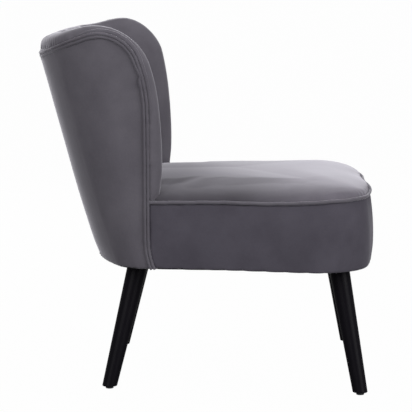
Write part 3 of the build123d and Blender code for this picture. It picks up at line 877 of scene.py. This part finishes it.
flange_line = []
for point in inner_line:
    beside = (point - outer_seam.find(point)[0]).normalized()
    inwards = level_out(point, BACK_MIDDLE) * -FLANGE_DEPTH
    flange_line.append(point + beside * FLANGE_SHIFT + inwards + seam_drop(point))
flange = sewn_cord("back_piping_flange", flange_line, FLANGE_RADIUS)
cover_with(flange, plain_velvet, "grey_velvet")
for cord_name, line, cord_node in (
    ("back_piping_cord_inner", inner_line, "back_piping_inner"),
    ("back_piping_cord_outer", outer_line, "back_piping_outer"),
):
    shifted = [point + cord_shift(point) for point in line]
    back_cord = sewn_cord(cord_name, shifted, CORD_RADIUS, CORD_TUCKS)
    cover_with(back_cord, plain_velvet, "grey_velvet", cord_node)

# Legs: beech turned to a round taper, sprayed with black lacquer and rubbed to a satin gloss. A hanger bolt
# in the top of each screws into a tee nut in its corner block.
LEGS = ("leg_front_left", "leg_front_right", "leg_rear_left", "leg_rear_right")
LACQUER_BLACK = "#0a080d"
LACQUER_WORN = "#121015"
LACQUER_PORE_MM = 2.5
LACQUER_PORE_STRETCH = 0.06

# Satin lacquer: near black, with a soft low gloss, and long pores of the wood that show through faintly
lacquer = new_material("black_satin_lacquer_on_beech")
tree = lacquer.node_tree
place = add_node(tree, "ShaderNodeTexCoord", {})
pore_axes = add_node(
    tree, "ShaderNodeMapping", {"Vector": place.outputs["Object"], "Scale": (1.0, 1.0, LACQUER_PORE_STRETCH)})
pores = add_node(
    tree, "ShaderNodeTexNoise",
    {"Vector": pore_axes.outputs["Vector"], "Scale": per_metre(LACQUER_PORE_MM), "Detail": 3.0})
lacquer_colour = add_node(
    tree, "ShaderNodeMix",
    {"Factor": pores.outputs["Fac"], "A": linear(LACQUER_BLACK), "B": linear(LACQUER_WORN)},
    data_type="RGBA")
pore_bump = add_node(
    tree, "ShaderNodeBump", {"Height": pores.outputs["Fac"], "Strength": 0.08, "Distance": 0.0003})
coat = add_node(
    tree, "ShaderNodeBsdfPrincipled",
    {"Base Color": lacquer_colour.outputs["Result"], "Roughness": 0.38, "Specular IOR Level": 0.05,
     "Normal": pore_bump.outputs["Normal"]})
add_node(tree, "ShaderNodeOutputMaterial", {"Surface": coat.outputs["BSDF"]})
dress(LEGS, lacquer)

# Glides: small nylon discs on a pin, moulded in black. Each is pushed into the foot of its leg, to spare
# the floor.
GLIDES = ("glide_front_left", "glide_front_right", "glide_rear_left", "glide_rear_right")
NYLON_BLACK = "#161618"
NYLON_SCUFFED = "#2b2b2e"
NYLON_SCUFF_MM = 4.0

# Moulded nylon: black through and through, slightly waxy, with paler scuffs where it has slid
nylon = new_material("moulded_black_nylon")
tree = nylon.node_tree
place = add_node(tree, "ShaderNodeTexCoord", {})
scuffs = add_node(
    tree, "ShaderNodeTexNoise",
    {"Vector": place.outputs["Object"], "Scale": per_metre(NYLON_SCUFF_MM), "Detail": 3.0})
nylon_colour = add_node(
    tree, "ShaderNodeMix",
    {"Factor": scuffs.outputs["Fac"], "A": linear(NYLON_BLACK), "B": linear(NYLON_SCUFFED)},
    data_type="RGBA")
nylon_gloss = add_node(
    tree, "ShaderNodeMapRange", {"Value": scuffs.outputs["Fac"], "To Min": 0.35, "To Max": 0.6})
moulding = add_node(
    tree, "ShaderNodeBsdfPrincipled",
    {"Base Color": nylon_colour.outputs["Result"], "Roughness": nylon_gloss.outputs["Result"], "IOR": 1.53})
add_node(tree, "ShaderNodeOutputMaterial", {"Surface": moulding.outputs["BSDF"]})
dress(GLIDES, nylon)

# Dust cover: black non-woven cloth stretched under the seat, with its edge stapled to the rails and holes
# cut for the legs. Between the staples it sags a little under its own weight.
DUST_ROOM = 0.010
DUST_VOXEL = 0.005
DUST_PASSES = 2
DUST_FACING = -0.7
DUST_SAG = 0.004
DUST_SAG_RUN = 0.06
DUST_DROP = 0.0012
DUST_REACH = 0.004
DUST_REACH_FROM = -0.06
DUST_REACH_RUN = 0.06
DUST_HEM = 0.012
DUST_LEG_REACH = 0.014
DUST_DARK = "#1a1a1b"
DUST_PALE = "#2c2c2e"
DUST_FIBRE_MM = 2.2
DUST_BOND_MM = 3.0

# The thin node is made thicker for the remesh, and only the skin underneath is kept
dust_low, dust_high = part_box("dust_cover")
dust_middle = (dust_low.z + dust_high.z) / 2
dust_sheet = soft_copy("dust_cover_cloth", "dust_cover")
move_points(dust_sheet, lambda point, normal: DOWN * (-DUST_ROOM if point.z > dust_middle else 0))
even_out(dust_sheet, DUST_VOXEL, DUST_PASSES)
drop_faces(dust_sheet, lambda face: face.normal.z > DUST_FACING)
bpy.ops.object.mode_set(mode="EDIT")
bpy.ops.mesh.select_all(action="DESELECT")
bpy.ops.mesh.select_mode(type="EDGE")
bpy.ops.mesh.select_non_manifold()
bpy.ops.object.mode_set(mode="OBJECT")
dust_edge = search_tree([v.co for v in dust_sheet.data.vertices if v.select])
leg_tops = search_tree([v.co for name in LEGS for v in nodes[name].data.vertices])


def lay_sheet(point, normal):
    """How the sheet sags between its edges, which reach out under the rear and close in on the legs."""
    to_edge = dust_edge.find(point)[2]
    leg_edge, index, to_leg = leg_tops.find(point)
    rearwards = ease((point.y - DUST_REACH_FROM) / DUST_REACH_RUN)
    reach = level_out(point, SEAT_MIDDLE) * DUST_REACH * rearwards
    if to_leg < DUST_LEG_REACH:
        reach = Vector((leg_edge.x - point.x, leg_edge.y - point.y, 0))
    sag = DOWN * (DUST_DROP + DUST_SAG * ease(to_edge / DUST_SAG_RUN))
    return sag + reach * (1 - ease(to_edge / DUST_HEM))


move_points(dust_sheet, lay_sheet)

# Non-woven cloth: matted black fibres, pressed together at small points, so it is dull and slightly dimpled
non_woven = new_material("black_non_woven_cloth")
tree = non_woven.node_tree
place = add_node(tree, "ShaderNodeTexCoord", {})
matted = add_node(
    tree, "ShaderNodeTexNoise",
    {"Vector": place.outputs["Object"], "Scale": per_metre(DUST_FIBRE_MM), "Detail": 4.0, "Roughness": 0.7})
bonds = add_node(
    tree, "ShaderNodeTexVoronoi", {"Vector": place.outputs["Object"], "Scale": per_metre(DUST_BOND_MM)})
matted_colour = add_node(
    tree, "ShaderNodeMix",
    {"Factor": matted.outputs["Fac"], "A": linear(DUST_DARK), "B": linear(DUST_PALE)},
    data_type="RGBA")
bond_bump = add_node(
    tree, "ShaderNodeBump", {"Height": bonds.outputs["Distance"], "Strength": 0.4, "Distance": 0.0004})
matting = add_node(
    tree, "ShaderNodeBsdfPrincipled",
    {"Base Color": matted_colour.outputs["Result"], "Roughness": 0.9, "Specular IOR Level": 0.2,
     "Normal": bond_bump.outputs["Normal"]})
add_node(tree, "ShaderNodeOutputMaterial", {"Surface": matting.outputs["BSDF"]})
cover_with(dust_sheet, non_woven, "dust_cloth", "dust_cover")

# Studio: a floor of matt white paper in front of a white backdrop. Four soft boxes light the chair: a wide
# one overhead, a smaller one beyond it, and two on the camera's side, towards the front and the rear.
WHITE = "#ffffff"
FLOOR_SIZE = 80
PAPER_GREY = "#8c8c8c"
PAPER_SHOWN_WHITE = 0.985
AMBIENT = 0.38
SOFTBOXES = (
    ("overhead_softbox", (0.2, -0.3, 2.6), (0, 0, 0.4), 2.2, 22),
    ("far_softbox", (2.8, 1.2, 1.6), (0, -0.1, 0.45), 1.2, 51),
    ("front_softbox", (-2.2, -2.4, 1.4), (0, 0, 0.5), 2.0, 64),
    ("rear_softbox", (-2.6, 1.4, 1.7), (0, 0.1, 0.5), 2.0, 44),
)
bpy.ops.object.select_all(action="DESELECT")
bpy.ops.mesh.primitive_plane_add(size=FLOOR_SIZE, location=(0, 0, 0))
floor = bpy.context.object
floor.name = "studio_floor"

# Studio paper: matt, and burnt out to white in the picture, with a trace of the chair's shadow left
paper = new_material("white_studio_paper")
tree = paper.node_tree
paper_surface = add_node(
    tree, "ShaderNodeBsdfPrincipled", {"Base Color": linear(PAPER_GREY), "Roughness": 0.9})
bright = add_node(tree, "ShaderNodeEmission", {"Color": linear(WHITE), "Strength": 1.0})
rays = add_node(tree, "ShaderNodeLightPath", {})
shown = add_node(
    tree, "ShaderNodeMath", {0: rays.outputs["Is Camera Ray"], 1: PAPER_SHOWN_WHITE}, operation="MULTIPLY")
paper_mix = add_node(
    tree, "ShaderNodeMixShader",
    {"Fac": shown.outputs["Value"], 1: paper_surface.outputs["BSDF"], 2: bright.outputs["Emission"]})
add_node(tree, "ShaderNodeOutputMaterial", {"Surface": paper_mix.outputs["Shader"]})
floor.data.materials.append(paper)

# The air of the studio: white where the camera sees it, and a weak even light on the chair
world = bpy.data.worlds.new("studio_air")
scene.world = world
world.use_nodes = True
tree = world.node_tree
tree.nodes.clear()
seen = add_node(tree, "ShaderNodeBackground", {"Color": linear(WHITE), "Strength": 1.0})
ambient = add_node(tree, "ShaderNodeBackground", {"Color": linear(WHITE), "Strength": AMBIENT})
rays = add_node(tree, "ShaderNodeLightPath", {})
air_mix = add_node(
    tree, "ShaderNodeMixShader",
    {"Fac": rays.outputs["Is Camera Ray"], 1: ambient.outputs["Background"], 2: seen.outputs["Background"]})
add_node(tree, "ShaderNodeOutputWorld", {"Surface": air_mix.outputs["Shader"]})

for lamp_name, lamp_place, aim, size, power in SOFTBOXES:
    bpy.ops.object.light_add(type="AREA", location=lamp_place)
    lamp = bpy.context.object
    lamp.name = lamp_name
    lamp.data.size = size
    lamp.data.energy = power
    lamp.rotation_euler = (Vector(aim) - Vector(lamp_place)).to_track_quat("-Z", "Y").to_euler()

# Camera: a long lens about four metres off the right side of the chair and almost square to it. It stands
# a little higher than the back and looks slightly down.
CAMERA_PLACE = (-4.1, -0.0835, 0.884)
CAMERA_YAW = radians(1.163)
CAMERA_PITCH = radians(7.52)
CAMERA_LENS = 172.1
CAMERA_SENSOR = 36
bpy.ops.object.camera_add(location=CAMERA_PLACE)
camera = bpy.context.object
level = cos(CAMERA_PITCH)
sight = Vector((cos(CAMERA_YAW) * level, sin(CAMERA_YAW) * level, -sin(CAMERA_PITCH)))
camera.rotation_euler = sight.to_track_quat("-Z", "Y").to_euler()
camera.data.lens = CAMERA_LENS
camera.data.sensor_width = CAMERA_SENSOR
scene.camera = camera
scene.view_settings.view_transform = "Standard"
